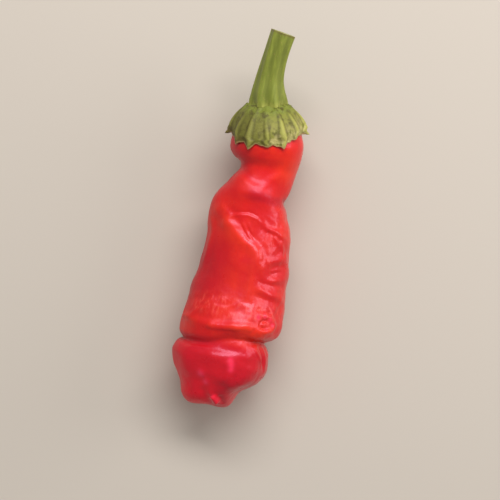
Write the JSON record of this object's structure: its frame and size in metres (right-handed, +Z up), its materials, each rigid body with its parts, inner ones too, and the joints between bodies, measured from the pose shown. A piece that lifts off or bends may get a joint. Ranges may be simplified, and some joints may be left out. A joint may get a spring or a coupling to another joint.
{
  "type": "peter pepper",
  "caption": "Ripe red chilli pod with a pinched neck, folded flanks, a rolled rim above a ring groove and a lobed end, with its ribbed green calyx and cut stalk, lying on its side",
  "frame": {"origin": "under the middle of the whole pepper, at the height of the flat spots it rests on", "axes": "+Z is up, +Y runs along the pod from its blossom end to its stalk, and +X is to the right seen from above with the stalk pointing away"},
  "size_m": [0.0352, 0.1288, 0.0313],
  "materials": {
    "pod": "gloss",
    "calyx": "matte",
    "stalk": "satin"
  },
  "bodies": {
    "root": {"pod": "pod", "calyx": "calyx", "stalk": "stalk"}
  },
  "joints": []
}
